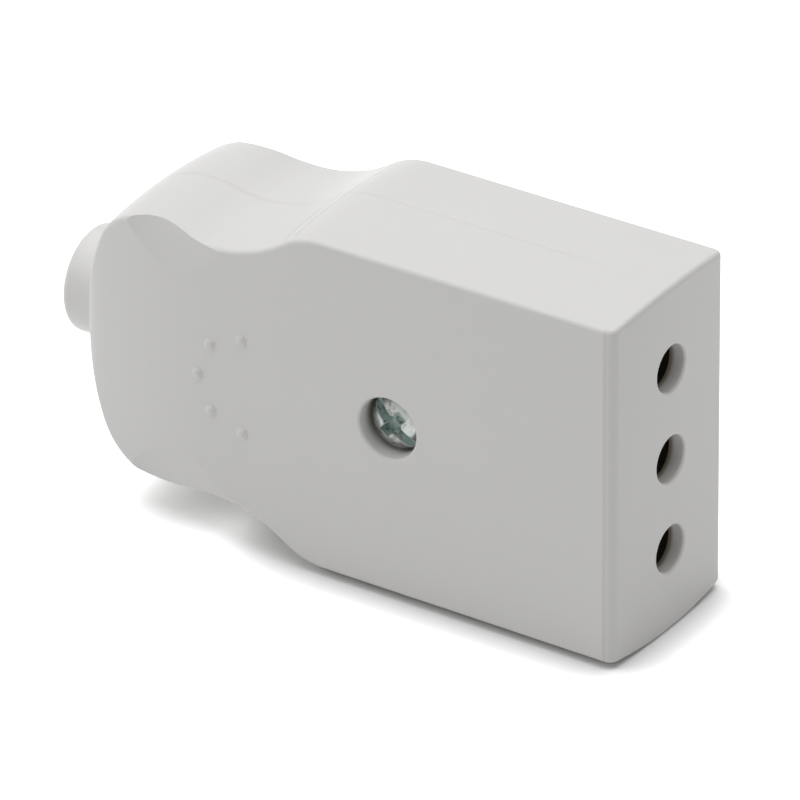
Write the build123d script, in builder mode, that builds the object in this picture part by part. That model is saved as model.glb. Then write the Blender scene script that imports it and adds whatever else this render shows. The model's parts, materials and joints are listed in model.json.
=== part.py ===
"""A rewirable in-line power socket with three round pin holes, in millimetres.

A one-piece housing with a closed front is open on the large face that lies away from the screw.
A contact carrier drops in there, and a cover pegged to the carrier closes the opening. One screw
through the other large face holds both in the housing. The carrier has three sprung sleeve
contacts with their terminals, and its tail holds the cable in a clamp.

The socket stands on a narrow side. X runs along it, and the pin holes face +X. The screw is in
the large face at -Y. Z is up, and the origin is on the ground below the middle of the box.
"""

import os

from build123d import *

os.makedirs("parts", exist_ok=True)

# Overall sizes
overall_length = 64.5
thickness = 18.9
front_height = 34.8
side_crown = 0.68
front_crown = 0.36
long_edge_radius = 0.5
front_edge_radius = 1.05

# Places that the rest is measured from: distances along X run back from the front rim
front_x = overall_length / 2 - front_crown
mid_z = front_height / 2 + side_crown
half_thickness = thickness / 2

# Side outline of the body at its large faces, as distance from the front rim and half height
shoulder_start = (-32.0, 17.25)
shoulder_end = (-35.5, 16.35)
ramp_end = (-36.9, 15.45)
waist = (-44.8, 13.2)
grip_rise = (-47.5, 13.55)
grip_end = (-53.2, 13.4)
corner_end = (-57.5, 9.35)
grip_end_growth = (-0.25, 0.95)
corner_growth = (-0.75, 0.65)
body_end = -59.8

# The large faces curve in towards the cable end
face_curve_start = -46.0
near_rear_y = -7.95
far_rear_y = 7.6
rear_round_start = -57.9
rear_round_reach = 1.1
rear_round_y = 4.6

# Cable outlet
collar_radius = 5.45
collar_end = front_crown - overall_length
collar_draft = 0.15
collar_lip = 0.9
cable_bore_radius = 3.9
bell_mouth_radius = 0.4

# Finger scoops, shallow dishes sunk in the large faces beside the grip
scoop_x = -51.0
scoop_z = 18.6
scoop_radius = 9.8
scoop_middle_depth = 1.08
scoop_depth = 3.3

# Cavity of the housing, open at +Y, and the ledge round it that the cover lies on
cavity_front = -1.4
cavity_half_height = 15.6
cavity_floor_y = -7.55
cavity_ramp_start = -31.6
cavity_ramp_end = -37.2
grip_cavity_half_height = 11.3
cavity_end = -55.0
cavity_end_corner = 5.0
cavity_ramp_corner = 3.0
cavity_taper_start = -44.0
cavity_end_floor_y = -6.0
ledge_width = 0.75
ledge_y = 7.3
rail_half_width = 5.0
rail_y = -4.9
rail_start = -20.6

# Housing screw
screw_x = -24.6
screw_radius = 1.5
screw_clearance_radius = 1.6
screw_pocket_radius = 3.1
screw_pocket_depth = 2.65
screw_pocket_lip = 0.3
screw_head_radius = 2.8
screw_head_height = 1.9
screw_head_side = 0.7
screw_crown_point = (1.75, 1.65)
screw_slot_width = 0.9
screw_slot_depth = 1.3
screw_slot_angle = -42
screw_cross_length = 3.2
screw_centre_radius = 1.0
screw_centre_depth = 1.75
screw_length = 5.8
screw_tip_chamfer = 0.45
nut_side = 5.5
nut_height = 2.2
nut_top_y = -3.4
nut_chamfer = 0.3

# Raised dots of the large face
dot_circle_x = -40.75
dot_circle_z = -0.52
dot_circle_radius = 4.95
dot_radius = 0.6
dot_height = 0.42
dot_count = 5
dot_first_angle = 90
dot_sweep = 180
dot_ball_radius = (dot_radius**2 + dot_height**2) / (2 * dot_height)
dot_sink = dot_ball_radius - dot_height

# Contact carrier
pole_pitch = 9.5
pin_hole_radius = 2.35
pin_hole_lip = 0.25
carrier_front = -1.55
carrier_top_y = -4.9
carrier_seam_y = 7.2
carrier_half_height = 15.45
carrier_block_end = -28.8
carrier_rear_half_height = 10.4
carrier_rear_end = -38.6
wall_thickness = 1.9
foot_width = 1.5
foot_y = -7.45
foot_z = 13.2
tail_start = carrier_rear_end + wall_thickness
tail_end = -49.5
tail_inner_y = 3.4
tail_outer_y = 5.6
tail_corner_radius = 3.0

# Chambers of the carrier
web_hole_radius = 2.75
spring_chamber_start = -3.1
spring_chamber_end = -9.0
spring_chamber_half_width = 3.25
sleeve_chamber_end = -19.4
terminal_clearance = 0.05
strip_channel_half_width = 1.7
strip_channel_y = 1.9
wire_channel_half_width = 1.9
wire_channel_top_y = -2.0
wire_channel_z = 7.9

# Contacts
sleeve_start = -3.5
sleeve_end = -17.0
sleeve_radius = 2.6
sleeve_bore_radius = 2.0
sleeve_slit = 0.6
sleeve_mouth = 0.35
strip_front = -12.0
strip_half_width = 1.3
strip_y = 2.05
strip_thickness = 0.7
spring_start = -5.2
spring_width = 2.6
spring_wall = 0.5
spring_gap = 1.1

# Terminals
terminal_length = 6.6
terminal_width = 6.4
terminal_top_y = -2.4
terminal_base_y = 4.4
terminal_bore_radius = 1.7
terminal_bore_y = 1.65
terminal_chamfer = 0.4
side_terminal_x = -22.75
earth_terminal_x = -33.3
terminal_screw_radius = 1.5
terminal_screw_head_radius = 2.5
terminal_screw_head_height = 1.8
terminal_screw_length = 3.3
terminal_access_radius = 2.8

# Back cover
cover_gap = 0.07
cover_edge_radius = 0.2
strip_rib_front = -9.4
strip_rib_rear = -18.8
terminal_pad_margin = 0.9
tail_rib_x = -43.5
tail_rib_width = 1.6
tail_rib_half_length = 8.0
peg_radius = 0.8
peg_length = 3.6
peg_x = -15.0
peg_spacing_x = 22.0
peg_z = 14.1

# Cable clamp
clamp_x = -43.5
clamp_screw_z = 7.6
clamp_post_radius = 2.4
clamp_post_top_y = -2.6
clamp_bar_width = 5.8
clamp_bar_half_length = 10.2
clamp_bar_thickness = 2.0
clamp_screw_radius = 1.4
clamp_screw_hole_radius = 1.6
clamp_screw_head_radius = 2.4
clamp_screw_head_height = 1.7
clamp_screw_length = 6.5
clamp_ridge_height = 0.6
clamp_ridge_width = 1.2
clamp_ridge_root = 0.3
clamp_ridge_spacing = 2.6
clamp_ridge_half_length = 3.8

slot_width = 0.8
slot_depth = 0.9

poles = {"line": pole_pitch, "earth": 0.0, "neutral": -pole_pitch}
terminal_places = {"line": side_terminal_x, "earth": earth_terminal_x, "neutral": side_terminal_x}


def at_x(x):
    """Plane across the socket, with Y and Z as its own axes."""
    return Plane(origin=(front_x + x, 0, mid_z), x_dir=(0, 1, 0), z_dir=(1, 0, 0))


def at_y(y):
    """Plane along the large faces, with X and Z as its own axes. Extrusion runs to -Y."""
    return Plane(origin=(front_x, y, mid_z), x_dir=(1, 0, 0), z_dir=(0, -1, 0))


def at_z(z):
    """Level plane, with X and Y as its own axes."""
    return Plane(origin=(front_x, 0, mid_z + z), x_dir=(1, 0, 0), z_dir=(0, 0, 1))


long_axis = Axis((0, 0, mid_z), (1, 0, 0))


def body_outline(grow):
    """Outline of the body seen on its large face, moved out by grow."""
    front = (front_crown, front_height / 2 + grow)
    start = (shoulder_start[0], shoulder_start[1] + grow)
    end = (shoulder_end[0], shoulder_end[1] + grow)
    ramp = (ramp_end[0], ramp_end[1] + grow)
    low = (waist[0], waist[1] + grow)
    rise = (grip_rise[0], grip_rise[1] + grow)
    drop = (grip_end[0] + grip_end_growth[0] * grow, grip_end[1] + grip_end_growth[1] * grow)
    corner = (corner_end[0] + corner_growth[0] * grow, corner_end[1] + corner_growth[1] * grow)
    with BuildSketch() as section:
        with BuildLine():
            Line((front_crown, 0), front)
            side = Line(front, start)
            TangentArc(start, end, tangent=side % 1)
            Line(end, ramp)
            TangentArc(low, ramp, tangent=(1, 0))
            to_rise = TangentArc(low, rise, tangent=(-1, 0))
            to_drop = TangentArc(rise, drop, tangent=to_rise % 1)
            to_corner = TangentArc(drop, corner, tangent=to_drop % 1)
            mirror(about=Plane.XZ)
            TangentArc(corner, (corner[0], -corner[1]), tangent=to_corner % 1)
        make_face()
    return section.sketch


def opening_outline(front, grow):
    """Outline of the housing's opening, moved out by grow at its sides and its rear end."""
    side_height = cavity_half_height + grow
    grip_height = grip_cavity_half_height + grow
    with BuildSketch() as section:
        with BuildLine():
            Polyline(
                (front, 0),
                (front, side_height),
                (cavity_ramp_start, side_height),
                (cavity_ramp_end, grip_height),
                (cavity_end - grow, grip_height),
                (cavity_end - grow, 0),
            )
            mirror(about=Plane.XZ)
        make_face()
        corners = section.vertices().filter_by(lambda corner: abs(corner.Y) > 1).sort_by(Axis.X)
        fillet(corners[:2], cavity_end_corner)
        fillet(corners[2:4], cavity_ramp_corner)
    return section.sketch


with BuildSketch(at_z(0)) as side_profile:
    with BuildLine():
        for side, rear_y in ((1, far_rear_y), (-1, near_rear_y)):
            flank = Line((0, side * half_thickness), (face_curve_start, side * half_thickness))
            rear_curve = TangentArc(flank @ 1, (rear_round_start, rear_y), tangent=flank % 1)
            TangentArc(
                rear_curve @ 1, (body_end - rear_round_reach, side * rear_round_y), tangent=rear_curve % 1
            )
        ThreePointArc((0, half_thickness), (front_crown, 0), (0, -half_thickness))
        Line((body_end - rear_round_reach, rear_round_y), (body_end - rear_round_reach, -rear_round_y))
    make_face()

with BuildPart() as finger_scoops:
    with BuildSketch(at_z(scoop_z)):
        with BuildLine():
            ThreePointArc(
                (scoop_x + scoop_radius, -half_thickness),
                (scoop_x + scoop_radius / 2, scoop_middle_depth - half_thickness),
                (scoop_x, scoop_depth - half_thickness),
            )
            Polyline(
                (scoop_x, scoop_depth - half_thickness),
                (scoop_x, -2 * half_thickness),
                (scoop_x + scoop_radius, -2 * half_thickness),
                (scoop_x + scoop_radius, -half_thickness),
            )
        make_face()
    revolve(axis=Axis((front_x + scoop_x, 0, mid_z + scoop_z), (0, 1, 0)))
    mirror(about=Plane.XZ)
    mirror(about=Plane.XY.offset(mid_z))

with BuildPart() as cavity:
    with BuildSketch(at_y(2 * half_thickness)):
        add(opening_outline(cavity_front, 0))
    extrude(amount=3 * half_thickness)
    with BuildSketch(at_z(0)):
        with BuildLine():
            Polyline(
                (cavity_front, 2 * half_thickness),
                (cavity_front, cavity_floor_y),
                (cavity_taper_start, cavity_floor_y),
                (cavity_end, cavity_end_floor_y),
                (cavity_end, 2 * half_thickness),
                close=True,
            )
        make_face()
    extrude(amount=cavity_half_height, both=True, mode=Mode.INTERSECT)
    with BuildSketch(at_y(rail_y)):
        with Locations(((rail_start + body_end) / 2, 0)):
            Rectangle(rail_start - body_end, 2 * rail_half_width)
    extrude(amount=half_thickness, mode=Mode.SUBTRACT)
    with BuildSketch(at_y(2 * half_thickness)):
        add(opening_outline(cavity_front, ledge_width))
    extrude(amount=2 * half_thickness - ledge_y)

with BuildPart() as housing:
    for y in (half_thickness, 0, -half_thickness):
        with BuildSketch(at_y(y)):
            add(body_outline(side_crown if y == 0 else 0))
    loft()
    extrude(side_profile.sketch, amount=front_height, both=True, mode=Mode.INTERSECT)
    fillet(housing.edges().filter_by(Axis.Z).sort_by(Axis.X)[-2:], front_edge_radius)
    flank_edges = housing.edges().filter_by(lambda edge: abs(edge.center().Y) > rear_round_y)
    fillet(
        flank_edges.filter_by(lambda edge: edge.center().X < front_x - 2 * front_edge_radius),
        long_edge_radius,
    )
    add(finger_scoops.part, mode=Mode.SUBTRACT)
    with BuildSketch(at_z(0)):
        with BuildLine():
            Polyline(
                (collar_end, 0),
                (collar_end, collar_radius - collar_draft),
                (cavity_end, collar_radius),
                (cavity_end, 0),
                close=True,
            )
        make_face()
    revolve(axis=long_axis)
    add(cavity.part, mode=Mode.SUBTRACT)
    with Locations(at_x(collar_end).location):
        Hole(cable_bore_radius, depth=2 * (cavity_end - collar_end))
    with Locations(*[at_x(front_crown) * Location((0, z, 0)) for z in poles.values()]):
        Hole(pin_hole_radius, depth=front_crown - cavity_front)
    pin_mouths = housing.edges().filter_by(lambda edge: edge.is_closed and edge.center().X > front_x)
    fillet(pin_mouths, pin_hole_lip)
    collar_edges = housing.edges().filter_by(GeomType.CIRCLE).group_by(Axis.X)[0].sort_by(SortBy.LENGTH)
    fillet(collar_edges[-1], collar_lip)
    mouth_edges = housing.edges().filter_by(GeomType.CIRCLE).group_by(Axis.X)[0].sort_by(SortBy.LENGTH)
    fillet(mouth_edges[0], bell_mouth_radius)
    with Locations(at_y(-half_thickness) * Location((screw_x, 0, 0))):
        CounterBoreHole(
            screw_clearance_radius,
            screw_pocket_radius,
            screw_pocket_depth,
            depth=half_thickness,
        )
    pocket_edge = (
        housing.edges()
        .filter_by(GeomType.CIRCLE)
        .filter_by(lambda edge: abs(edge.radius - screw_pocket_radius) < 0.01)
        .sort_by(Axis.Y)[0]
    )
    fillet(pocket_edge, screw_pocket_lip)
    # Raised dots, each the cap of a ball sunk in the large face
    with Locations(at_y(dot_sink - half_thickness)):
        with Locations((dot_circle_x, dot_circle_z)):
            with PolarLocations(
                dot_circle_radius, dot_count, dot_first_angle, dot_sweep, endpoint=True
            ):
                Sphere(dot_ball_radius)
housing.part.label = "housing"
export_step(housing.part, "parts/housing.step")

with BuildPart() as contact_carrier:
    with BuildSketch(at_y(carrier_seam_y)):
        with Locations(((carrier_front + carrier_block_end) / 2, 0)):
            Rectangle(carrier_front - carrier_block_end, 2 * carrier_half_height)
        with Locations(((carrier_front + carrier_rear_end) / 2, 0)):
            Rectangle(carrier_front - carrier_rear_end, 2 * carrier_rear_half_height)
    extrude(amount=carrier_seam_y - carrier_top_y)
    # Feet beside the terminals
    with BuildSketch(at_y(carrier_top_y)):
        for side in (1, -1):
            with Locations(((carrier_front + carrier_block_end) / 2, side * foot_z)):
                Rectangle(carrier_front - carrier_block_end, foot_width)
    extrude(amount=carrier_top_y - foot_y)
    # Tail plate behind the rear wall, with the cable clamp's posts and ridges
    with BuildSketch(at_y(tail_outer_y)):
        with Locations(((tail_start + tail_end) / 2, 0)):
            RectangleRounded(tail_start - tail_end, 2 * carrier_rear_half_height, tail_corner_radius)
        with Locations((carrier_rear_end + wall_thickness / 2, 0)):
            Rectangle(wall_thickness, 2 * carrier_rear_half_height)
    extrude(amount=tail_outer_y - tail_inner_y)
    with BuildSketch(at_y(tail_inner_y)):
        with Locations((clamp_x, clamp_screw_z), (clamp_x, -clamp_screw_z)):
            Circle(clamp_post_radius)
    extrude(amount=tail_inner_y - clamp_post_top_y)
    with BuildSketch(at_z(-clamp_ridge_half_length)):
        for along in (-clamp_ridge_spacing / 2, clamp_ridge_spacing / 2):
            with Locations((clamp_x + along, tail_inner_y)):
                Polygon(
                    (-clamp_ridge_width / 2, clamp_ridge_root),
                    (clamp_ridge_width / 2, clamp_ridge_root),
                    (0, -clamp_ridge_height),
                    align=None,
                )
    extrude(amount=2 * clamp_ridge_half_length)
    with BuildSketch(at_y(tail_outer_y)):
        with Locations((clamp_x, clamp_screw_z), (clamp_x, -clamp_screw_z)):
            Circle(clamp_screw_radius)
    extrude(amount=tail_outer_y - clamp_post_top_y, mode=Mode.SUBTRACT)
    # Chambers for the sleeves, their springs and their terminals, open to the cover
    for z in poles.values():
        with BuildSketch(at_y(carrier_seam_y)):
            with Locations(((spring_chamber_start + spring_chamber_end) / 2, z)):
                Rectangle(spring_chamber_start - spring_chamber_end, 2 * spring_chamber_half_width)
        extrude(amount=carrier_seam_y + spring_chamber_half_width, mode=Mode.SUBTRACT)
        with BuildSketch(at_x(spring_chamber_end)):
            with Locations((0, z)):
                Circle(sleeve_radius)
            with Locations((carrier_seam_y / 2, z)):
                Rectangle(carrier_seam_y, 2 * sleeve_radius)
        extrude(amount=sleeve_chamber_end - spring_chamber_end, mode=Mode.SUBTRACT)
    for name, z in poles.items():
        place = terminal_places[name]
        with BuildSketch(at_y(carrier_seam_y)):
            with Locations((place, z)):
                Rectangle(
                    terminal_length + 2 * terminal_clearance, terminal_width + 2 * terminal_clearance
                )
        extrude(amount=carrier_seam_y - terminal_top_y + terminal_clearance, mode=Mode.SUBTRACT)
        with BuildSketch(at_y(terminal_top_y)):
            with Locations((place, z)):
                Circle(terminal_access_radius)
        extrude(amount=terminal_top_y - carrier_top_y, mode=Mode.SUBTRACT)
    # Channel of the earth strip, and the pocket and hole of the housing screw's nut
    with BuildSketch(at_y(carrier_seam_y)):
        with Locations(((sleeve_chamber_end + earth_terminal_x) / 2, 0)):
            Rectangle(sleeve_chamber_end - earth_terminal_x, 2 * strip_channel_half_width)
    extrude(amount=carrier_seam_y - strip_channel_y, mode=Mode.SUBTRACT)
    with BuildSketch(at_y(carrier_seam_y)):
        with Locations((screw_x, 0)):
            Rectangle(nut_side + 2 * terminal_clearance, nut_side + 2 * terminal_clearance)
    extrude(amount=carrier_seam_y - nut_top_y, mode=Mode.SUBTRACT)
    with BuildSketch(at_y(nut_top_y)):
        with Locations((screw_x, 0)):
            Circle(screw_clearance_radius)
    extrude(amount=nut_top_y - carrier_top_y, mode=Mode.SUBTRACT)
    # Ways for the three wires
    with BuildSketch(at_y(tail_inner_y)):
        with Locations(((earth_terminal_x + carrier_rear_end) / 2, 0)):
            Rectangle(earth_terminal_x - carrier_rear_end, 2 * wire_channel_half_width)
        with Locations(
            ((side_terminal_x + carrier_rear_end) / 2, wire_channel_z),
            ((side_terminal_x + carrier_rear_end) / 2, -wire_channel_z),
        ):
            Rectangle(side_terminal_x - carrier_rear_end, 2 * wire_channel_half_width)
    extrude(amount=tail_inner_y - wire_channel_top_y, mode=Mode.SUBTRACT)
    # Ways for the pins, and holes for the cover's pegs
    with Locations(*[at_x(carrier_front) * Location((0, z, 0)) for z in poles.values()]):
        Hole(web_hole_radius, depth=carrier_front - spring_chamber_start)
    with BuildSketch(at_y(carrier_seam_y)):
        with Locations((peg_x, 0)):
            with GridLocations(peg_spacing_x, 2 * peg_z, 2, 2):
                Circle(peg_radius)
    extrude(amount=peg_length, mode=Mode.SUBTRACT)
contact_carrier.part.label = "contact_carrier"
export_step(contact_carrier.part, "parts/contact_carrier.step")

with BuildPart() as back_cover:
    with BuildSketch(at_y(half_thickness)):
        add(opening_outline(cavity_front - cover_gap, ledge_width - cover_gap))
    extrude(amount=half_thickness - ledge_y)
    extrude(side_profile.sketch, amount=front_height, both=True, mode=Mode.INTERSECT)
    add(finger_scoops.part, mode=Mode.SUBTRACT)
    outer_edges = back_cover.edges().filter_by(
        lambda edge: edge.center().Y > ledge_y + 0.2 and abs(edge.tangent_at(0.5).Y) < 0.7
    )
    fillet(
        outer_edges.filter_by(lambda edge: abs(edge.center().X - front_x - face_curve_start) > 0.01),
        cover_edge_radius,
    )
    # Ribs and pads that keep the contacts and the carrier's tail down
    with BuildSketch(at_y(ledge_y)):
        for z in poles.values():
            with Locations(((strip_rib_front + strip_rib_rear) / 2, z)):
                Rectangle(strip_rib_front - strip_rib_rear, 2 * strip_half_width)
    extrude(amount=ledge_y - strip_y - strip_thickness)
    with BuildSketch(at_y(ledge_y)):
        for name, z in poles.items():
            with Locations((terminal_places[name], z)):
                Rectangle(
                    terminal_length - 2 * terminal_pad_margin, terminal_width - 2 * terminal_pad_margin
                )
    extrude(amount=ledge_y - terminal_base_y)
    with BuildSketch(at_y(ledge_y)):
        with Locations((tail_rib_x, 0)):
            Rectangle(tail_rib_width, 2 * tail_rib_half_length)
    extrude(amount=ledge_y - tail_outer_y)
    with BuildSketch(at_y(ledge_y)):
        with Locations((peg_x, 0)):
            with GridLocations(peg_spacing_x, 2 * peg_z, 2, 2):
                Circle(peg_radius)
    extrude(amount=peg_length)
back_cover.part.label = "back_cover"
export_step(back_cover.part, "parts/back_cover.step")


def make_contact(name, z):
    """Sleeve rolled from strip, with a belled mouth and a tail strip to its terminal."""
    strip_end = terminal_places[name] - terminal_length / 2 + terminal_clearance
    with BuildPart() as contact:
        with BuildSketch(at_x(sleeve_start)):
            with Locations((0, z)):
                Circle(sleeve_radius)
                Circle(sleeve_bore_radius, mode=Mode.SUBTRACT)
            with Locations((-sleeve_radius, z)):
                Rectangle(2 * sleeve_bore_radius, sleeve_slit, mode=Mode.SUBTRACT)
        extrude(amount=sleeve_end - sleeve_start)
        mouth = contact.edges().filter_by(GeomType.CIRCLE).group_by(Axis.X)[-1].sort_by(SortBy.LENGTH)
        chamfer(mouth[0], sleeve_mouth)
        with BuildSketch(at_y(strip_y + strip_thickness)):
            with Locations(((strip_front + strip_end) / 2, z)):
                Rectangle(strip_front - strip_end, 2 * strip_half_width)
        extrude(amount=strip_thickness)
    contact.part.label = "contact_" + name
    return contact.part


def make_spring(name, z):
    """Steel ring, open on one side, that closes the contact on the pin."""
    with BuildPart() as spring:
        with BuildSketch(at_x(spring_start)):
            with Locations((0, z)):
                Circle(sleeve_radius + spring_wall)
                Circle(sleeve_radius, mode=Mode.SUBTRACT)
            with Locations((-sleeve_radius, z)):
                Rectangle(sleeve_radius, spring_gap, mode=Mode.SUBTRACT)
        extrude(amount=-spring_width)
    spring.part.label = "spring_" + name
    return spring.part


def make_terminal(name, z):
    """Square brass block with a wire bore along X and a tapped hole from above."""
    place = terminal_places[name]
    with BuildPart() as terminal:
        with BuildSketch(at_y(terminal_base_y)):
            with Locations((place, z)):
                Rectangle(terminal_length, terminal_width)
        extrude(amount=terminal_base_y - terminal_top_y)
        chamfer(terminal.faces().sort_by(Axis.Y)[0].edges(), terminal_chamfer)
        with BuildSketch(at_x(place - terminal_length)):
            with Locations((terminal_bore_y, z)):
                Circle(terminal_bore_radius)
        extrude(amount=2 * terminal_length, mode=Mode.SUBTRACT)
        with BuildSketch(at_y(terminal_bore_y)):
            with Locations((place, z)):
                Circle(terminal_screw_radius)
        extrude(amount=terminal_bore_y - terminal_top_y, mode=Mode.SUBTRACT)
    terminal.part.label = "terminal_" + name
    return terminal.part


def make_slotted_screw(label, place, z, seat_y, sizes):
    """Cheese-head screw along Y with its head towards -Y."""
    head_radius, head_height, shank_radius, length = sizes
    with BuildPart() as screw:
        with BuildSketch(at_y(seat_y)):
            with Locations((place, z)):
                Circle(head_radius)
        extrude(amount=head_height)
        rim = screw.edges().filter_by(GeomType.CIRCLE).sort_by(Axis.Y)[0]
        chamfer(rim, head_height / 6)
        with BuildSketch(at_y(seat_y + length)):
            with Locations((place, z)):
                Circle(shank_radius)
        extrude(amount=length)
        tip = screw.edges().filter_by(GeomType.CIRCLE).sort_by(Axis.Y)[-1]
        chamfer(tip, shank_radius / 4)
        with BuildSketch(at_y(seat_y - head_height)):
            with Locations((place, z)):
                Rectangle(2 * head_radius, slot_width)
        extrude(amount=-slot_depth, mode=Mode.SUBTRACT)
    screw.part.label = label
    return screw.part


terminal_screw_sizes = (
    terminal_screw_head_radius,
    terminal_screw_head_height,
    terminal_screw_radius,
    terminal_screw_length,
)
pieces = []
for pole, pole_z in poles.items():
    pieces.append(make_contact(pole, pole_z))
    pieces.append(make_spring(pole, pole_z))
    pieces.append(make_terminal(pole, pole_z))
    pieces.append(
        make_slotted_screw(
            "terminal_screw_" + pole, terminal_places[pole], pole_z, terminal_top_y, terminal_screw_sizes
        )
    )

clamp_screw_sizes = (
    clamp_screw_head_radius,
    clamp_screw_head_height,
    clamp_screw_radius,
    clamp_screw_length,
)
clamp_seat_y = clamp_post_top_y - clamp_bar_thickness
for side_name, side in (("upper", 1), ("lower", -1)):
    pieces.append(
        make_slotted_screw(
            "clamp_screw_" + side_name, clamp_x, side * clamp_screw_z, clamp_seat_y, clamp_screw_sizes
        )
    )
for piece in pieces:
    export_step(piece, "parts/" + piece.label + ".step")

with BuildPart() as clamp_bar:
    with BuildSketch(at_y(clamp_post_top_y)):
        with Locations((clamp_x, 0)):
            SlotOverall(2 * clamp_bar_half_length, clamp_bar_width, rotation=90)
        with Locations((clamp_x, clamp_screw_z), (clamp_x, -clamp_screw_z)):
            Circle(clamp_screw_hole_radius, mode=Mode.SUBTRACT)
    extrude(amount=clamp_bar_thickness)
    with BuildSketch(at_z(-clamp_ridge_half_length)):
        with Locations((clamp_x, clamp_post_top_y)):
            Polygon(
                (-clamp_ridge_width / 2, -clamp_ridge_root),
                (clamp_ridge_width / 2, -clamp_ridge_root),
                (0, clamp_ridge_height),
                align=None,
            )
    extrude(amount=2 * clamp_ridge_half_length)
clamp_bar.part.label = "clamp_bar"
export_step(clamp_bar.part, "parts/clamp_bar.step")

with BuildPart() as housing_nut:
    with BuildSketch(at_y(nut_top_y + nut_height)):
        with Locations((screw_x, 0)):
            Rectangle(nut_side, nut_side)
            Circle(screw_radius, mode=Mode.SUBTRACT)
    extrude(amount=nut_height)
    chamfer(housing_nut.edges().filter_by(Axis.Y), nut_chamfer)
housing_nut.part.label = "housing_nut"
export_step(housing_nut.part, "parts/housing_nut.step")

screw_seat_y = screw_pocket_depth - half_thickness
screw_tip_y = screw_seat_y + screw_length
with BuildPart() as housing_screw:
    with BuildSketch(at_z(0)):
        with BuildLine():
            Polyline(
                (screw_x, screw_tip_y),
                (screw_x + screw_radius - screw_tip_chamfer, screw_tip_y),
                (screw_x + screw_radius, screw_tip_y - screw_tip_chamfer),
                (screw_x + screw_radius, screw_seat_y),
                (screw_x + screw_head_radius, screw_seat_y),
                (screw_x + screw_head_radius, screw_seat_y - screw_head_side),
            )
            ThreePointArc(
                (screw_x + screw_head_radius, screw_seat_y - screw_head_side),
                (screw_x + screw_crown_point[0], screw_seat_y - screw_crown_point[1]),
                (screw_x, screw_seat_y - screw_head_height),
            )
            Line((screw_x, screw_seat_y - screw_head_height), (screw_x, screw_tip_y))
        make_face()
    revolve(axis=Axis((front_x + screw_x, 0, mid_z), (0, 1, 0)))
    with BuildSketch(at_y(screw_seat_y - screw_head_height)):
        with Locations((screw_x, 0)):
            Rectangle(3 * screw_head_radius, screw_slot_width, rotation=screw_slot_angle)
            Rectangle(screw_cross_length, screw_slot_width, rotation=screw_slot_angle + 90)
    extrude(amount=-screw_slot_depth, mode=Mode.SUBTRACT)
    with Locations(at_y(screw_seat_y - screw_head_height) * Location((screw_x, 0, 0))):
        Cone(
            0,
            screw_centre_radius,
            screw_centre_depth,
            align=(Align.CENTER, Align.CENTER, Align.MAX),
            mode=Mode.SUBTRACT,
        )
housing_screw.part.label = "housing_screw"
export_step(housing_screw.part, "parts/housing_screw.step")
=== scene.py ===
"""Looks of the in-line power socket: materials, floor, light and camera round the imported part."""

import json
import math

import bmesh
import bpy
from mathutils import Matrix, Vector


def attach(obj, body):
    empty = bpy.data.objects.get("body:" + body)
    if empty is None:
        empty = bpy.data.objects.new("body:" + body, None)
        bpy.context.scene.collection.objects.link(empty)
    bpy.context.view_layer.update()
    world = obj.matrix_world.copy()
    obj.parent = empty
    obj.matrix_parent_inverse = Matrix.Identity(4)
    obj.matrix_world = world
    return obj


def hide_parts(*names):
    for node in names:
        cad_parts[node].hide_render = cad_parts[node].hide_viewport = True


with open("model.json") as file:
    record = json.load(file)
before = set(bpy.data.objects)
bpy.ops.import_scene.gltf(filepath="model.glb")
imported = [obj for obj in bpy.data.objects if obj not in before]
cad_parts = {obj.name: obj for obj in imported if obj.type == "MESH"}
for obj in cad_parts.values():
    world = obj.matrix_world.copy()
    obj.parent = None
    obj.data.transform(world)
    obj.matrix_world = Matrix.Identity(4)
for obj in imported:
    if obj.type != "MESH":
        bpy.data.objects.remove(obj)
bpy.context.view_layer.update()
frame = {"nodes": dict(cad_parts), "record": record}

MM = 0.001

# Camera, as fitted to the corners of the object in the photograph
CAMERA_TARGET = Vector((-3.11, 0.0, 18.08)) * MM
CAMERA_AZIMUTH = math.radians(33.602)
CAMERA_ELEVATION = math.radians(29.534)
CAMERA_ROLL = math.radians(-0.377)
CAMERA_DISTANCE = 1115.05 * MM
CAMERA_ASIDE = -4.667 * MM
CAMERA_ABOVE = 4.018 * MM
SENSOR_WIDTH = 36.0
LENS = 540.0
CLIP_START = 0.05
CLIP_END = 20.0

# Colours and finish
HOUSING_WHITE = (0.806, 0.80, 0.782)
HOUSING_ROUGHNESS = 0.42
HOUSING_SPECULAR = 0.35
INNER_ROUGHNESS = 0.5
# Black that stands in for the shade deep inside the pin holes: painted shade
CARRIER_SHADE_BLACK = (0.012, 0.012, 0.013)
INNER_WHITE = (0.66, 0.66, 0.64)
BRASS = (0.62, 0.42, 0.16)
SPRING_STEEL = (0.36, 0.37, 0.39)
PLATED_STEEL = (0.52, 0.55, 0.60)
SCREW_STEEL = (0.43, 0.46, 0.44)
SCREW_RECESS = (0.48, 0.61, 0.60)
# Light steel on the recess's rims: a painted highlight
SCREW_RIM_HIGHLIGHT = (0.90, 0.92, 0.88)
SCREW_STAIN = (0.13, 0.12, 0.10)
SCREW_DUST = (0.55, 0.54, 0.44)
# Brown for the grime in the screw's pocket and for the painted shade in the pocket, the pin holes,
# the parting line and the creases
GRIME_AND_PAINTED_SHADE = (0.25, 0.20, 0.145)
EDGE_BROWN = (0.56, 0.50, 0.45)
FLOOR_WHITE = (0.90, 0.90, 0.90)
FLOW_SCALE = 55.0
SKIN_SCALE = 2600.0
SKIN_DEPTH = 0.0012 * MM
HOUSING_RELIEF = 0.0035 * MM
TOOL_MARK_DEPTH = 0.006 * MM
SCREW_MARK_DEPTH = 0.05 * MM

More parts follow.
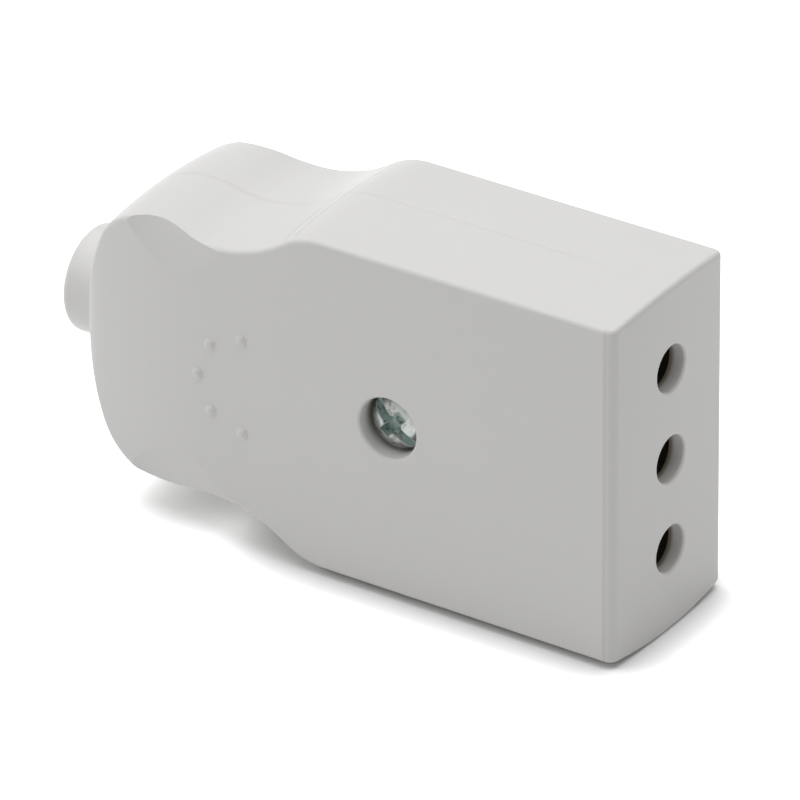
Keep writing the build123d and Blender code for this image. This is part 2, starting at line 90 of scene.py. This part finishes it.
# Light
AMBIENT = 0.237
FLOOR_GLOW = 0.85
CONTACT_SHADOW_REACH = 5.0 * MM
CONTACT_SHADOW_POWER = 3.0
FLOOR_WIDTH = 6.0
LIGHT_TARGET = (0.0, 0.0, 0.02)
TOP_LAMP_PLACE = (-0.10, 0.10, 0.75)
TOP_LAMP_WIDTH = 0.9
TOP_LAMP_POWER = 4.43
SIDE_LAMP_PLACE = (-0.60, -0.50, 0.55)
SIDE_LAMP_WIDTH = 0.3
SIDE_LAMP_POWER = 1.2

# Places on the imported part, as part.py has them
MIDDLE_Z = 18.08 * MM
PIN_PITCH = 9.5 * MM
HOLE_RADIUS = 2.35 * MM
LARGE_FACE_Y = -9.45 * MM
SCREW_X = 7.29 * MM
SCREW_TIP_Y = -1.0 * MM
SCREW_SEAT_Y = -6.8 * MM
SCREW_SHOULDER_Y = -7.5 * MM
SCREW_CROWN = 1.2 * MM
SCREW_SHAFT_RADIUS = 1.5 * MM
SCREW_HEAD_RADIUS = 2.8 * MM
SCREW_TIP_CHAMFER = 0.45 * MM
SCREW_TOP_Y = SCREW_SHOULDER_Y - SCREW_CROWN

# The screw's recess, drawn after the photograph
SCREW_TURN = math.radians(42)
RECESS_DEPTH = 1.35 * MM
RECESS_WIDTH = 1.2 * MM
SLOT_LENGTH = 6.4 * MM
CROSS_LENGTH = 3.3 * MM
MIDDLE_RADIUS = 1.12 * MM
RIM_SOFTENING = 0.1 * MM
CROWN_STEPS = 15
SCREW_STEPS = 96
MIDDLE_STEPS = 48

# Masks of the housing's marks and of its painted shade, each from where it is 0 to where it is 1
NARROW_SIDE_Y = (8.9 * MM, 8.3 * MM)
FRONT_PART_X = (27.0 * MM, 20.0 * MM)
FINE_LINE_Y = (0.2 * MM, 0.03 * MM)
WAIST_X = (-5.0 * MM, -14.0 * MM)
WIDE_LINE_Y = (0.45 * MM, 0.05 * MM)
CREASES = ((-4.55 * MM, 0.16 * MM), (-3.35 * MM, 0.10 * MM))
POCKET_RADIUS = (3.6 * MM, 3.25 * MM)
POCKET_TOP_Y = (LARGE_FACE_Y + 0.6 * MM, LARGE_FACE_Y + 1.9 * MM)
POCKET_BOTTOM_Y = (SCREW_SEAT_Y + 0.8 * MM, SCREW_SEAT_Y + 0.4 * MM)
POCKET_UPPER_Z = (MIDDLE_Z - 3.0 * MM, MIDDLE_Z - 1.0 * MM)
HOLE_WALL = (HOLE_RADIUS + 0.2 * MM, HOLE_RADIUS + 0.1 * MM)
HOLE_DARK_X = (31.15 * MM, 30.6 * MM)
HOLE_END_X = (29.7 * MM, 30.0 * MM)
EDGE_LINE_X = 30.95 * MM
EDGE_LINE_WIDTH = 0.3 * MM
EDGE_LINE_Y = (LARGE_FACE_Y + 0.5 * MM, LARGE_FACE_Y + 0.2 * MM)

# Masks of the screw's material, by radius or by depth below its crown
SCREW_TOP_RADIUS = (SCREW_HEAD_RADIUS - 0.02 * MM, SCREW_HEAD_RADIUS - 0.1 * MM)
HOLLOW_DEPTH = (0.12 * MM, 0.4 * MM)
# The rim depths bound the painted highlight on the recess's rims
RIM_START_DEPTH = (0.01 * MM, 0.03 * MM)
RIM_END_DEPTH = (0.2 * MM, 0.1 * MM)


def node_material(name):
    """A material with its node tree and its Principled shader."""
    material = bpy.data.materials.new(name)
    material.use_nodes = True
    tree = material.node_tree
    return material, tree, tree.nodes["Principled BSDF"]


def add_node(tree, kind, **settings):
    """A node with its own settings, or else its inputs, set by name."""
    node = tree.nodes.new(kind)
    for key, value in settings.items():
        if hasattr(node, key):
            setattr(node, key, value)
        else:
            node.inputs[key.replace("_", " ")].default_value = value
    return node


def math_node(tree, operation, first, second=None):
    """A Math node; first and second are sockets or numbers."""
    node = tree.nodes.new("ShaderNodeMath")
    node.operation = operation
    for index, value in enumerate((first, second)):
        if value is None:
            continue
        if isinstance(value, (int, float)):
            node.inputs[index].default_value = value
        else:
            tree.links.new(value, node.inputs[index])
    return node.outputs[0]


def object_place(tree):
    return tree.nodes.new("ShaderNodeTexCoord").outputs["Object"]


def noise(tree, coordinate, scale, detail=2.0, roughness=0.5):
    node = add_node(tree, "ShaderNodeTexNoise", Scale=scale, Detail=detail, Roughness=roughness)
    tree.links.new(coordinate, node.inputs["Vector"])
    return node.outputs["Fac"]


def remap(tree, value, low, high):
    """A noise's middle range, spread from low to high."""
    node = add_node(tree, "ShaderNodeMapRange", From_Min=0.3, From_Max=0.7, To_Min=low, To_Max=high)
    tree.links.new(value, node.inputs["Value"])
    return node.outputs["Result"]


def smooth_step(tree, value, zero, one):
    """Runs smoothly from 0 at zero to 1 at one; either may be the larger."""
    node = add_node(
        tree,
        "ShaderNodeMapRange",
        interpolation_type="SMOOTHSTEP",
        From_Min=zero,
        From_Max=one,
    )
    tree.links.new(value, node.inputs["Value"])
    return node.outputs["Result"]


def product(tree, *factors):
    """The factors multiplied; the first is a socket, the others sockets or numbers."""
    result = factors[0]
    for factor in factors[1:]:
        result = math_node(tree, "MULTIPLY", result, factor)
    return result


def blend_color(tree, factor, first, second):
    """First's colour where factor is 0 and second's where it is 1; each a socket or a tuple."""
    node = add_node(tree, "ShaderNodeMix", data_type="RGBA")
    color_inputs = [socket for socket in node.inputs if socket.type == "RGBA"]
    for socket, value in zip(color_inputs, (first, second)):
        if isinstance(value, tuple):
            socket.default_value = (*value, 1.0)
        else:
            tree.links.new(value, socket)
    tree.links.new(factor, node.inputs["Factor"])
    return [socket for socket in node.outputs if socket.type == "RGBA"][0]


def distance_from(tree, value, place):
    """How far value is from a fixed place on its axis."""
    return math_node(tree, "ABSOLUTE", math_node(tree, "SUBTRACT", value, place))


def hypotenuse(tree, first, second):
    squares = math_node(tree, "ADD", product(tree, first, first), product(tree, second, second))
    return math_node(tree, "SQRT", squares)


def object_axes(tree, place):
    axes = tree.nodes.new("ShaderNodeSeparateXYZ")
    tree.links.new(place, axes.inputs["Vector"])
    return [axes.outputs[name] for name in "XYZ"]


def screw_radius(tree, along, up):
    """Distance from the axis of the housing screw."""
    aside = math_node(tree, "SUBTRACT", along, SCREW_X)
    above = math_node(tree, "SUBTRACT", up, MIDDLE_Z)
    return hypotenuse(tree, aside, above)


def pin_radius(tree, across, up):
    """Distance from the axis of the nearest pin hole."""
    from_middle = distance_from(tree, up, MIDDLE_Z)
    from_outer = distance_from(tree, from_middle, PIN_PITCH)
    return hypotenuse(tree, across, math_node(tree, "MINIMUM", from_middle, from_outer))


def bump(tree, height, distance):
    node = add_node(tree, "ShaderNodeBump", Distance=distance)
    tree.links.new(height, node.inputs["Height"])
    return node.outputs["Normal"]


def scaled(color, factor):
    return tuple(channel * factor for channel in color)


def moulded_plastic(name, color, roughness):
    """Semi-gloss moulded plastic: faint flow marks and a spark-eroded skin."""
    material, tree, shader = node_material(name)
    place = object_place(tree)
    flow = noise(tree, place, FLOW_SCALE, 3.0)
    skin = noise(tree, place, SKIN_SCALE, 2.0, 0.6)
    base = blend_color(tree, remap(tree, flow, 0.0, 1.0), scaled(color, 0.975), color)
    tree.links.new(base, shader.inputs["Base Color"])
    finish = remap(tree, flow, roughness - 0.03, roughness + 0.04)
    tree.links.new(finish, shader.inputs["Roughness"])
    tree.links.new(bump(tree, skin, SKIN_DEPTH), shader.inputs["Normal"])
    return material


def housing_plastic():
    """White moulded plastic with the marks that the housing shows, and painted shade.

    They are its parting line and two creases below the shoulder, both darkened as painted shade,
    a brown line along the front edge, painted shade with some grime in the screw's pocket, and
    painted shade in the pin holes.
    """
    material, tree, shader = node_material("housing_plastic")
    place = object_place(tree)
    along, across, up = object_axes(tree, place)
    aside = math_node(tree, "ABSOLUTE", across)
    narrow_side = smooth_step(tree, aside, *NARROW_SIDE_Y)

    flow = noise(tree, place, FLOW_SCALE, 3.0)
    skin = noise(tree, place, SKIN_SCALE, 2.0, 0.6)

    # The parting line is a hair on the front part and wider on the waist and grip
    front_part = smooth_step(tree, along, *FRONT_PART_X)
    fine_line = product(tree, smooth_step(tree, aside, *FINE_LINE_Y), front_part)
    on_waist = smooth_step(tree, along, *WAIST_X)
    wide_line = product(tree, smooth_step(tree, aside, *WIDE_LINE_Y), on_waist)
    parting = math_node(tree, "MAXIMUM", product(tree, fine_line, 0.9), wide_line)

    first, second = (
        smooth_step(tree, distance_from(tree, along, place_x), width, 0.0)
        for place_x, width in CREASES
    )
    creases = product(tree, math_node(tree, "MAXIMUM", first, second), narrow_side)

    # Painted shade with some grime darkens the screw's pocket towards its seat, most in the
    # pocket's upper part
    in_pocket = smooth_step(tree, screw_radius(tree, along, up), *POCKET_RADIUS)
    below_face = smooth_step(tree, across, *POCKET_TOP_Y)
    near_face = smooth_step(tree, across, *POCKET_BOTTOM_Y)
    upper_part = smooth_step(tree, up, *POCKET_UPPER_Z)
    share = math_node(tree, "ADD", product(tree, upper_part, 0.5), 0.2)
    painted_shade_and_grime = product(tree, in_pocket, below_face, near_face, share)

    # Painted shade darkens the walls of the pin holes inwards
    in_hole = smooth_step(tree, pin_radius(tree, across, up), *HOLE_WALL)
    inwards = smooth_step(tree, along, *HOLE_DARK_X)
    in_wall = smooth_step(tree, along, *HOLE_END_X)
    painted_shade_and_grime = math_node(tree, "MAXIMUM", painted_shade_and_grime, product(tree, in_hole, inwards, in_wall, 0.85))

    cloud = remap(tree, flow, 0.0, 1.0)
    base = blend_color(tree, cloud, scaled(HOUSING_WHITE, 0.985), HOUSING_WHITE)
    # The parting line and the creases are darkened in colour: painted shade
    marks = math_node(tree, "MAXIMUM", product(tree, parting, 0.07), product(tree, creases, 0.26))
    base = blend_color(tree, marks, base, GRIME_AND_PAINTED_SHADE)
    edge_line = smooth_step(tree, distance_from(tree, along, EDGE_LINE_X), EDGE_LINE_WIDTH, 0.0)
    on_face = smooth_step(tree, across, *EDGE_LINE_Y)
    base = blend_color(tree, product(tree, edge_line, on_face, 0.35), base, EDGE_BROWN)
    tree.links.new(blend_color(tree, painted_shade_and_grime, base, GRIME_AND_PAINTED_SHADE), shader.inputs["Base Color"])
    finish = remap(tree, flow, HOUSING_ROUGHNESS - 0.03, HOUSING_ROUGHNESS + 0.04)
    tree.links.new(finish, shader.inputs["Roughness"])
    shader.inputs["Specular IOR Level"].default_value = HOUSING_SPECULAR

    height = math_node(tree, "ADD", product(tree, skin, 0.35), product(tree, parting, 7.0))
    height = math_node(tree, "SUBTRACT", height, product(tree, creases, 9.0))
    tree.links.new(bump(tree, height, HOUSING_RELIEF), shader.inputs["Normal"])
    return material


def brushed_metal(name, color, roughness, scale, grain):
    """Bare or plated metal with fine tool marks, drawn out by grain, and a little tarnish."""
    material, tree, shader = node_material(name)
    shader.inputs["Metallic"].default_value = 1.0
    place = object_place(tree)
    stretch = add_node(tree, "ShaderNodeMapping")
    stretch.inputs["Scale"].default_value = grain
    tree.links.new(place, stretch.inputs["Vector"])
    marks = noise(tree, stretch.outputs["Vector"], scale, 3.0, 0.6)
    cloud = noise(tree, place, 420.0, 2.0)
    base = blend_color(tree, remap(tree, cloud, 0.0, 1.0), scaled(color, 0.8), color)
    tree.links.new(base, shader.inputs["Base Color"])
    finish = remap(tree, marks, roughness - 0.06, roughness + 0.08)
    tree.links.new(finish, shader.inputs["Roughness"])
    tree.links.new(bump(tree, marks, TOOL_MARK_DEPTH), shader.inputs["Normal"])
    return material


def housing_screw_steel():
    """Dull plated steel with stains, a painted highlight on its rims and a recess dark with dirt.
    """
    material, tree, shader = node_material("housing_screw_steel")
    place = object_place(tree)
    along, across, up = object_axes(tree, place)

    # Depth below the crown, which is part of an ellipse
    radius = screw_radius(tree, along, up)
    share = math_node(tree, "DIVIDE", radius, SCREW_HEAD_RADIUS)
    rest = math_node(tree, "SUBTRACT", 1.0, product(tree, share, share))
    rise = math_node(tree, "SQRT", math_node(tree, "MAXIMUM", rest, 0.0))
    crown_y = math_node(tree, "SUBTRACT", SCREW_SHOULDER_Y, product(tree, rise, SCREW_CROWN))
    depth = math_node(tree, "SUBTRACT", across, crown_y)
    on_top = smooth_step(tree, radius, *SCREW_TOP_RADIUS)
    recess = product(tree, smooth_step(tree, depth, *HOLLOW_DEPTH), on_top)
    # A ring just below the crown is lightened: a painted highlight on the rims
    below_top = smooth_step(tree, depth, *RIM_START_DEPTH)
    above_hollow = smooth_step(tree, depth, *RIM_END_DEPTH)
    rim_highlight = product(tree, below_top, above_hollow, on_top)

    cloud = noise(tree, place, 650.0, 3.0, 0.6)
    marks = noise(tree, place, 1500.0, 3.0, 0.6)
    stain = smooth_step(tree, noise(tree, place, 1100.0, 4.0, 0.7), 0.50, 0.64)
    dust = smooth_step(tree, noise(tree, place, 1900.0, 3.0, 0.6), 0.52, 0.62)
    base = blend_color(tree, remap(tree, cloud, 0.0, 1.0), scaled(SCREW_STEEL, 0.6), SCREW_STEEL)
    hollow = blend_color(tree, product(tree, dust, 0.8), SCREW_RECESS, SCREW_DUST)
    base = blend_color(tree, recess, base, hollow)
    base = blend_color(tree, product(tree, stain, 0.7), base, SCREW_STAIN)
    tree.links.new(blend_color(tree, rim_highlight, base, SCREW_RIM_HIGHLIGHT), shader.inputs["Base Color"])
    dull = math_node(tree, "MAXIMUM", product(tree, recess, 0.8), product(tree, rim_highlight, 0.6))
    tree.links.new(math_node(tree, "SUBTRACT", 1.0, dull), shader.inputs["Metallic"])
    worn = math_node(tree, "ADD", remap(tree, marks, 0.3, 0.44), product(tree, recess, 0.25))
    tree.links.new(worn, shader.inputs["Roughness"])
    tree.links.new(bump(tree, marks, SCREW_MARK_DEPTH), shader.inputs["Normal"])
    return material


materials = {
    "housing": housing_plastic(),
    # The carrier is black as painted shade for the depths of the pin holes
    "carrier": moulded_plastic("carrier_shade_black", CARRIER_SHADE_BLACK, INNER_ROUGHNESS),
    "inner_plastic": moulded_plastic("inner_plastic", INNER_WHITE, INNER_ROUGHNESS),
    "brass": brushed_metal("contact_brass", BRASS, 0.3, 900.0, (0.15, 1.0, 1.0)),
    "spring_steel": brushed_metal("spring_steel", SPRING_STEEL, 0.32, 1100.0, (1.0, 0.2, 1.0)),
    "plated_steel": brushed_metal("plated_steel", PLATED_STEEL, 0.24, 1500.0, (1.0, 0.3, 1.0)),
}
slot_of = {part["node"]: part["material_slot"] for part in frame["record"]["subparts"]}
for node_name, node_object in frame["nodes"].items():
    for slot in node_object.material_slots:
        slot.material = materials[slot_of[node_name]]


def finished_mesh(name, work):
    mesh = bpy.data.meshes.new(name)
    work.to_mesh(mesh)
    work.free()
    return mesh


def revolved_mesh(name, profile, steps):
    """Closed mesh of (radius, Y) points turned about the Y axis; both ends lie on the axis."""
    work = bmesh.new()
    rings = []
    for radius, y in profile:
        ring = []
        for step in range(steps if radius > 0 else 1):
            turn = 2 * math.pi * step / steps
            ring.append(work.verts.new((radius * math.cos(turn), y, radius * math.sin(turn))))
        rings.append(ring)
    for ring, following in zip(rings, rings[1:]):
        for step in range(steps):
            after = (step + 1) % steps
            corners = (
                ring[step % len(ring)],
                ring[after % len(ring)],
                following[after % len(following)],
                following[step % len(following)],
            )
            work.faces.new(list(dict.fromkeys(corners)))
    bmesh.ops.recalc_face_normals(work, faces=work.faces)
    return finished_mesh(name, work)


def recess_arm(name, length, turn):
    """Cutter for one arm of the recess, narrower at its bottom."""
    work = bmesh.new()
    top_y = SCREW_TOP_Y - 0.4 * MM
    bottom_y = SCREW_TOP_Y + RECESS_DEPTH
    middle_y = (top_y + bottom_y) / 2
    size = Matrix.Diagonal((length, bottom_y - top_y, RECESS_WIDTH, 1.0))
    bmesh.ops.create_cube(work, size=1.0, matrix=Matrix.Translation((0, middle_y, 0)) @ size)
    for vertex in work.verts:
        if vertex.co.y > middle_y:
            vertex.co.x *= 0.9
            vertex.co.z *= 0.8
    bmesh.ops.rotate(work, verts=work.verts, cent=(0, 0, 0), matrix=Matrix.Rotation(turn, 3, "Y"))
    return finished_mesh(name, work)


def add_housing_screw():
    """The screw with its slot and cross cut cleanly, in place of the plain solid."""
    turns = [math.pi / 2 * step / CROWN_STEPS for step in range(1, CROWN_STEPS)]
    profile = [
        (0.0, SCREW_TIP_Y),
        (SCREW_SHAFT_RADIUS - SCREW_TIP_CHAMFER, SCREW_TIP_Y),
        (SCREW_SHAFT_RADIUS, SCREW_TIP_Y - SCREW_TIP_CHAMFER),
        (SCREW_SHAFT_RADIUS, SCREW_SEAT_Y),
        (SCREW_HEAD_RADIUS, SCREW_SEAT_Y),
        (SCREW_HEAD_RADIUS, SCREW_SHOULDER_Y),
        *(
            (SCREW_HEAD_RADIUS * math.cos(turn), SCREW_SHOULDER_Y - SCREW_CROWN * math.sin(turn))
            for turn in turns
        ),
        (0.0, SCREW_TOP_Y),
    ]
    name = "screw_with_recess"
    screw = bpy.data.objects.new(name, revolved_mesh(name, profile, SCREW_STEPS))
    bpy.context.scene.collection.objects.link(screw)
    middle = (
        (0.0, SCREW_TOP_Y + 1.75 * MM),
        (0.3 * MM, SCREW_TOP_Y + 1.7 * MM),
        (MIDDLE_RADIUS, SCREW_TOP_Y - 0.2 * MM),
        (0.0, SCREW_TOP_Y - 0.2 * MM),
    )
    cutters = (
        recess_arm("slot_cutter", SLOT_LENGTH, SCREW_TURN),
        recess_arm("cross_cutter", CROSS_LENGTH, SCREW_TURN + math.pi / 2),
        revolved_mesh("middle_cutter", middle, MIDDLE_STEPS),
    )
    holders = []
    for cutter in cutters:
        holder = bpy.data.objects.new(cutter.name, cutter)
        bpy.context.scene.collection.objects.link(holder)
        holders.append(holder)
        cut = screw.modifiers.new(cutter.name, "BOOLEAN")
        cut.operation = "DIFFERENCE"
        cut.solver = "EXACT"
        cut.object = holder
    soften = screw.modifiers.new("rims", "BEVEL")
    soften.width = RIM_SOFTENING
    soften.segments = 2
    soften.limit_method = "ANGLE"
    soften.angle_limit = math.radians(38)
    bpy.context.view_layer.update()
    evaluated = screw.evaluated_get(bpy.context.evaluated_depsgraph_get())
    finished = bpy.data.meshes.new_from_object(evaluated)
    screw.modifiers.clear()
    screw.data = finished
    for holder in holders:
        bpy.data.objects.remove(holder)
    finished.transform(Matrix.Translation((SCREW_X, 0.0, MIDDLE_Z)))
    finished.polygons.foreach_set("use_smooth", [True] * len(finished.polygons))
    finished.set_sharp_from_angle(angle=math.radians(45))
    finished.materials.clear()
    finished.materials.append(housing_screw_steel())
    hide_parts("housing_screw")
    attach(screw, "root")


def background_rays(tree):
    """1 for the rays that are to see a white background: from the camera, a reflection or glass."""
    path = tree.nodes.new("ShaderNodeLightPath")
    seen = math_node(tree, "ADD", path.outputs["Is Camera Ray"], path.outputs["Is Glossy Ray"])
    seen = math_node(tree, "ADD", seen, path.outputs["Is Transmission Ray"])
    return math_node(tree, "MINIMUM", seen, 1.0)


def add_floor():
    """White floor that keeps the socket's shadow and shows as white to the camera, its glow dimmed
    near the socket in a painted contact shadow.
    """
    bpy.ops.mesh.primitive_grid_add(x_subdivisions=8, y_subdivisions=8, size=FLOOR_WIDTH)
    floor = bpy.context.object
    floor.name = "floor"
    material, tree, shader = node_material("floor_white")
    shader.inputs["Base Color"].default_value = (*FLOOR_WHITE, 1.0)
    shader.inputs["Roughness"].default_value = 0.9
    shader.inputs["Specular IOR Level"].default_value = 0.0
    seen = background_rays(tree)
    # Ambient occlusion dims the glow near the socket: a painted contact shadow
    occlusion = add_node(
        tree, "ShaderNodeAmbientOcclusion", samples=16, Distance=CONTACT_SHADOW_REACH
    )
    contact = math_node(tree, "POWER", occlusion.outputs["AO"], CONTACT_SHADOW_POWER)
    glow = add_node(tree, "ShaderNodeEmission")
    tree.links.new(product(tree, seen, contact, FLOOR_GLOW), glow.inputs["Strength"])
    total = tree.nodes.new("ShaderNodeAddShader")
    tree.links.new(shader.outputs["BSDF"], total.inputs[0])
    tree.links.new(glow.outputs["Emission"], total.inputs[1])
    tree.links.new(total.outputs["Shader"], tree.nodes["Material Output"].inputs["Surface"])
    floor.data.materials.append(material)


def add_softbox(name, position, width, power):
    """Square soft lamp that faces the socket."""
    lamp = bpy.data.lights.new(name, "AREA")
    lamp.shape = "SQUARE"
    lamp.size = width
    lamp.energy = power
    holder = bpy.data.objects.new(name, lamp)
    bpy.context.scene.collection.objects.link(holder)
    holder.location = position
    aim = Vector(LIGHT_TARGET) - Vector(position)
    holder.rotation_euler = aim.to_track_quat("-Z", "Y").to_euler()


def set_world():
    """Plain pale surroundings, white to the camera."""
    world = bpy.data.worlds.new("studio")
    bpy.context.scene.world = world
    world.use_nodes = True
    tree = world.node_tree
    ambient = tree.nodes["Background"]
    ambient.inputs["Color"].default_value = (1.0, 1.0, 1.0, 1.0)
    ambient.inputs["Strength"].default_value = AMBIENT
    white = add_node(tree, "ShaderNodeBackground", Strength=1.0)
    white.inputs["Color"].default_value = (1.0, 1.0, 1.0, 1.0)
    mix = tree.nodes.new("ShaderNodeMixShader")
    seen = background_rays(tree)
    tree.links.new(seen, mix.inputs[0])
    tree.links.new(ambient.outputs["Background"], mix.inputs[1])
    tree.links.new(white.outputs["Background"], mix.inputs[2])
    tree.links.new(mix.outputs["Shader"], tree.nodes["World Output"].inputs["Surface"])


def add_camera():
    """Camera at the photograph's viewing angle."""
    level = Vector((math.cos(CAMERA_AZIMUTH), math.sin(CAMERA_AZIMUTH), 0.0))
    outward = Vector((level.y, -level.x, 0.0))
    back = math.cos(CAMERA_ELEVATION) * outward + math.sin(CAMERA_ELEVATION) * Vector((0, 0, 1))
    upward = back.cross(level)
    right = math.cos(CAMERA_ROLL) * level + math.sin(CAMERA_ROLL) * upward
    top = math.cos(CAMERA_ROLL) * upward - math.sin(CAMERA_ROLL) * level
    place = CAMERA_TARGET + CAMERA_DISTANCE * back - CAMERA_ASIDE * right - CAMERA_ABOVE * top
    data = bpy.data.cameras.new("camera")
    data.sensor_width = SENSOR_WIDTH
    data.lens = LENS
    data.clip_start = CLIP_START
    data.clip_end = CLIP_END
    camera = bpy.data.objects.new("camera", data)
    bpy.context.scene.collection.objects.link(camera)
    turn = Matrix((right, top, back)).transposed().to_4x4()
    camera.matrix_world = Matrix.Translation(place) @ turn
    bpy.context.scene.camera = camera


add_housing_screw()
add_floor()
set_world()
add_softbox("top_softbox", TOP_LAMP_PLACE, TOP_LAMP_WIDTH, TOP_LAMP_POWER)
add_softbox("side_softbox", SIDE_LAMP_PLACE, SIDE_LAMP_WIDTH, SIDE_LAMP_POWER)
add_camera()

bpy.context.scene.view_settings.view_transform = "Standard"
